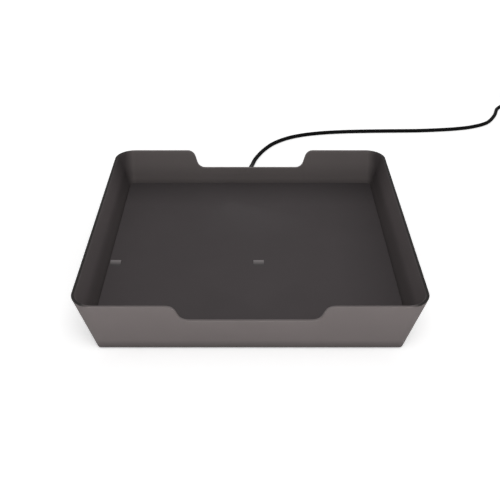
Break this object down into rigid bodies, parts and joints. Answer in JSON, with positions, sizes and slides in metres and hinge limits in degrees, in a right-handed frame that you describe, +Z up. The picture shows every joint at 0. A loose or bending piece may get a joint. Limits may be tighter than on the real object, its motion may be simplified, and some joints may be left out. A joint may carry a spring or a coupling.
{
  "type": "wireless charging box",
  "caption": "Shallow square tray with flared walls, finger notches front and back and a wireless charging place on its floor, fed by a thin cable from the back.",
  "frame": {"origin": "middle of the box, on the surface that its feet stand on", "axes": "+X to the right and +Y to the back, where the cable is plugged in; +Z up out of the tray"},
  "size_m": [0.4027, 0.423, 0.0378],
  "materials": {
    "shell_plastic": "fine matte texture",
    "mat_rubber": "soft matte",
    "cover_plastic": "fine matte texture",
    "screw_steel": "zinc plated",
    "foot_rubber": "matte",
    "carrier_plastic": "natural nylon",
    "spreader_metal": "rolled sheet",
    "ferrite": "dark ceramic sheet",
    "litz_copper": "enamelled copper",
    "board_laminate": "solder mask",
    "chip_case": "moulded package",
    "capacitor_case": "ceramic",
    "inductor_case": "pressed powder",
    "socket_metal": "nickel plated",
    "contact_plastic": "moulded",
    "cord_jacket": "satin",
    "plug_plastic": "satin moulding",
    "tie_strap": "woven",
    "insert_plastic": "moulded"
  },
  "bodies": {
    "box": {"tray_shell": "shell_plastic", "tray_mat": "mat_rubber", "base_cover": "cover_plastic", "cover_screws": "screw_steel", "rubber_feet": "foot_rubber", "coil_carrier": "carrier_plastic", "carrier_screws": "screw_steel", "heat_spreader": "spreader_metal", "ferrite_sheet": "ferrite", "transmit_coil": "litz_copper", "circuit_board": "board_laminate", "board_screws": "screw_steel", "controller_chip": "chip_case", "bridge_transistors": "chip_case", "resonant_capacitors": "capacitor_case", "power_inductor": "inductor_case", "input_capacitors": "capacitor_case", "usb_c_socket": "socket_metal", "usb_c_tongue": "contact_plastic"},
    "cable": {"usb_c_tip": "socket_metal", "usb_c_plug": "plug_plastic", "cord": "cord_jacket", "cord_coil": "cord_jacket", "cord_tail": "cord_jacket", "cord_tie": "tie_strap", "usb_a_plug": "plug_plastic", "usb_a_shell": "socket_metal", "usb_a_insert": "insert_plastic"}
  },
  "joints": [
    {"name": "cable_unplug", "type": "slide", "parent": "box", "child": "cable", "axis": [0, 1, 0], "range_m": [0, 0.012]}
  ]
}
